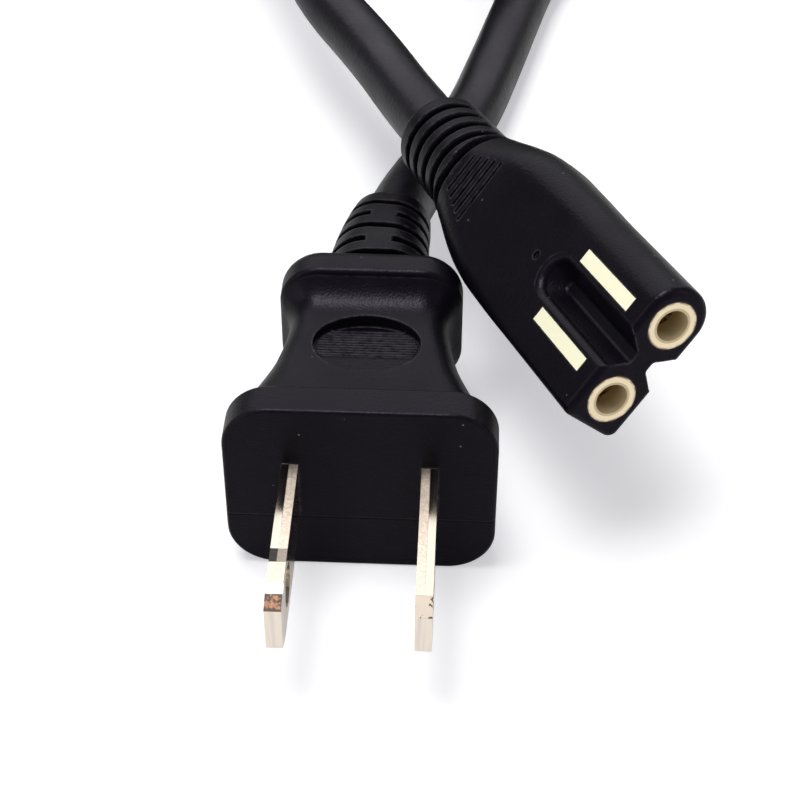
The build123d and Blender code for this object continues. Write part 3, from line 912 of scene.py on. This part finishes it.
@dataclass
class HankTie:
    """A soft strap round the hank's waist."""

    hank: Hank
    width: float = 9.0
    thickness: float = 0.6
    corner: float = 3.4

    def build(self, finish: Finish) -> bpy.types.Object:
        """Draw the strap's loop, widen it to a band, then give it thickness and soft edges.

        Args:
            finish: The strap's finish.

        Returns:
            The strap.
        """
        hank = self.hank
        deselect_all()
        left = hank.centre[0] - hank.radius - 2 * hank.cord - 0.2
        right = hank.centre[0] + hank.radius + hank.ring + hank.cord + 0.2
        low, high = TABLE / MM + self.thickness, hank.floor + 2 * hank.pitch + hank.cord
        bpy.ops.mesh.primitive_plane_add(size=1.0)
        strap = bpy.context.active_object
        strap.name = "tie_strap"
        bpy.ops.object.mode_set(mode="EDIT")
        bpy.ops.mesh.select_all(action="SELECT")
        bpy.ops.transform.resize(value=((right - left) * MM, (high - low) * MM, 1.0))
        bpy.ops.mesh.bevel(offset=self.corner * MM, segments=6, affect="VERTICES")
        bpy.ops.mesh.delete(type="ONLY_FACE")
        bpy.ops.mesh.select_all(action="SELECT")
        bpy.ops.mesh.extrude_edges_move(TRANSFORM_OT_translate={"value": (0.0, 0.0, self.width * MM)})
        bpy.ops.mesh.select_all(action="SELECT")
        bpy.ops.transform.translate(value=(0.0, 0.0, -self.width / 2 * MM))
        bpy.ops.transform.rotate(value=math.radians(90), orient_axis="X", center_override=(0.0, 0.0, 0.0))
        waist = hank.centre[1] + hank.straight / 2
        bpy.ops.transform.translate(value=((left + right) / 2 * MM, waist * MM, (low + high) / 2 * MM))
        bpy.ops.mesh.normals_make_consistent(inside=False)
        bpy.ops.object.mode_set(mode="OBJECT")
        pick(strap)
        for kind, values in (
            ("SOLIDIFY", {"thickness": self.thickness * MM, "offset": 1.0}),
            ("BEVEL", {"width": 0.25 * MM, "segments": 2, "limit_method": "ANGLE"}),
        ):
            modifier = strap.modifiers.new(kind.title(), kind)
            for name, value in values.items():
                setattr(modifier, name, value)
            bpy.ops.object.modifier_apply(modifier=modifier.name)
        bpy.ops.object.shade_smooth_by_angle(angle=math.radians(40))
        strap.data.materials.append(finish.material())
        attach(strap, "root")
        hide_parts("coil_tie")
        deselect_all()
        return strap


@dataclass
class Ends:
    """The plug and the connector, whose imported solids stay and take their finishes."""

    frame: dict

    def dress(self) -> None:
        """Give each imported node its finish."""
        finishes = {
            Part.PLUG: Finishes.plug,
            Part.MOULDING: Finishes.moulding,
            Part.BLADE: Finishes.blade,
            Part.CONTACT: Finishes.contact,
            Part.INSERT: Finishes.insert,
            Part.BRIDGE: Finishes.bridge,
            Part.JACKET: Finishes.jacket,
            Part.WHITE_CORE: Finishes.white_core,
            Part.BLACK_CORE: Finishes.black_core,
            Part.STRAND: Finishes.strand,
        }
        for part, finish in finishes.items():
            for node in part.value:
                self.coat(node, finish)

    def coat(self, node: str, finish: Finish) -> None:
        """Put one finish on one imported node.

        Args:
            node: The node's name.
            finish: Its finish.
        """
        thing = self.frame["nodes"][node]
        for slot in thing.material_slots:
            slot.material = finish.material()
        LOG.info("%s takes %s", node, finish.title)


@dataclass(frozen=True)
class SoftBox:
    """A rectangular lamp, hidden from one kind of ray where it names one."""

    name: str
    place: Triple
    size: tuple[float, float]
    power: float
    aim: Triple = (0.0, 0.02, 0.0)
    hidden: str | None = None

    def hang(self) -> None:
        """Hang the lamp, in metres and watts."""
        shape = bpy.data.lights.new(self.name, "AREA")
        shape.shape = "RECTANGLE"
        shape.size, shape.size_y = self.size
        shape.energy = self.power
        lamp = bpy.data.objects.new(self.name, shape)
        bpy.context.collection.objects.link(lamp)
        lamp.location = self.place
        lamp.rotation_euler = (Vector(self.aim) - Vector(self.place)).to_track_quat("-Z", "Y").to_euler()
        if self.hidden:
            setattr(lamp, self.hidden, False)


@dataclass
class Studio:
    """The white ground, the lamps and the camera."""

    target: Triple = (2.625, 24.08, -9.55)
    elevation: float = 40.82
    yaw: float = 2.34
    roll: float = 0.2
    distance: float = 192.95
    lens: float = 82.89
    ground_size: float = 6.0
    ground_gap: float = 0.00002
    glow_colour: Triple = (0.93, 0.93, 1.0)
    glow_reach: tuple[float, float] = (0.2, 0.6)
    glow: tuple[float, float] = (0.38, 1.05)
    sky_light: float = 0.25
    boxes: tuple[SoftBox, ...] = (
        SoftBox("overhead", (-0.14, 0.06, 0.73), (0.48, 0.36), 3.8),
        SoftBox("behind", (0.0, 0.57, 0.48), (1.2, 0.5), 3.3, hidden="visible_diffuse"),
        SoftBox("glint", (-0.12, 0.07, 0.74), (0.32, 0.22), 3.6, hidden="visible_diffuse"),
        SoftBox("left side", (-0.75, -0.2, 0.35), (0.4, 0.5), 1.5),
        SoftBox("right side", (0.75, -0.25, 0.4), (0.4, 0.5), 1.2),
        SoftBox("front fill", (0.15, -0.7, 0.3), (0.6, 0.6), 1.9, aim=(0.0, 0.0, 0.0), hidden="visible_glossy"),
    )

    def floor(self) -> None:
        """Lay the ground: it glows towards the camera, more so further out, and keeps the shadows."""
        deselect_all()
        bpy.ops.mesh.primitive_plane_add(size=self.ground_size, location=(0.0, 0.0, TABLE - self.ground_gap))
        ground = bpy.context.active_object
        ground.name = "ground"
        made = bpy.data.materials.new("White ground")
        made.use_nodes = True
        graph = Graph(made.node_tree)
        plain = graph.add("ShaderNodeBsdfDiffuse", Color=(0.8, 0.8, 0.8, 1.0))
        where = graph.add("ShaderNodeTexCoord").outputs["Object"]
        away = graph.add("ShaderNodeVectorMath", {"operation": "LENGTH"}, Vector=where)
        bright = graph.spread(away.outputs["Value"], *self.glow_reach, *self.glow)
        glow = graph.add("ShaderNodeEmission", Color=opaque(self.glow_colour), Strength=bright)
        none = graph.add("ShaderNodeEmission", Color=(0.0, 0.0, 0.0, 1.0), Strength=0.0)
        shown = graph.add("ShaderNodeMixShader")
        seen = graph.add("ShaderNodeLightPath").outputs["Is Camera Ray"]
        for index, value in enumerate((seen, none.outputs["Emission"], glow.outputs["Emission"])):
            graph.feed(shown, index, value)
        lit = graph.add("ShaderNodeAddShader")
        graph.feed(lit, 0, plain.outputs["BSDF"])
        graph.feed(lit, 1, shown.outputs["Shader"])
        outlet = graph.add("ShaderNodeOutputMaterial")
        graph.feed(outlet, "Surface", lit.outputs["Shader"])
        ground.data.materials.append(made)

    def sky(self) -> None:
        """Fill the room with an even light, white where the camera sees it."""
        scene = bpy.context.scene
        world = scene.world or bpy.data.worlds.new("Room")
        scene.world = world
        world.use_nodes = True
        graph = Graph(world.node_tree)
        path = graph.add("ShaderNodeLightPath")
        seen = graph.spread(path.outputs["Is Camera Ray"], 0.0, 1.0, self.sky_light, 1.0)
        light = graph.add("ShaderNodeBackground", Color=(1.0, 1.0, 1.0, 1.0), Strength=seen)
        outlet = graph.add("ShaderNodeOutputWorld")
        graph.feed(outlet, "Surface", light.outputs["Background"])

    def lamps(self) -> None:
        """Hang the soft boxes: two overhead, one behind for the sheen, one at each side and a fill in front."""
        for box in self.boxes:
            box.hang()

    def camera(self) -> None:
        """Stand the camera where the photograph was taken from."""
        up_angle, yaw, roll = (math.radians(value) for value in (self.elevation, self.yaw, self.roll))
        back = Vector((math.sin(yaw) * math.cos(up_angle), -math.cos(yaw) * math.cos(up_angle), math.sin(up_angle)))
        right = Vector((math.cos(yaw), math.sin(yaw), 0.0))
        up = back.cross(right)
        across = right * math.cos(roll) + up * math.sin(roll)
        upright = up * math.cos(roll) - right * math.sin(roll)
        place = Vector(self.target) * MM + back * self.distance * MM
        eye = bpy.data.cameras.new("camera")
        eye.lens = self.lens
        eye.sensor_width = 36.0
        eye.clip_start = 0.01
        eye.clip_end = 20.0
        holder = bpy.data.objects.new("camera", eye)
        bpy.context.collection.objects.link(holder)
        turn = Matrix((across, upright, back)).transposed().to_4x4()
        holder.matrix_world = Matrix.Translation(place) @ turn
        bpy.context.scene.camera = holder

    def build(self) -> None:
        """Set the stage up."""
        self.floor()
        self.sky()
        self.lamps()
        self.camera()
        bpy.context.scene.view_settings.view_transform = "Standard"


def main() -> None:
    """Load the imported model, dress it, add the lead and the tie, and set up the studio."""
    logging.basicConfig(level=logging.INFO, format="%(message)s")
    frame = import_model()
    Ends(frame).dress()
    hank = Hank()
    lead = Lead(hank)
    cable = lead.build(Finishes.jacket)
    tie = HankTie(hank).build(Finishes.tie)
    lead.declare()
    LOG.info("lead and tie are in place")
    Studio().build()


if __name__ == "__main__":
    main()
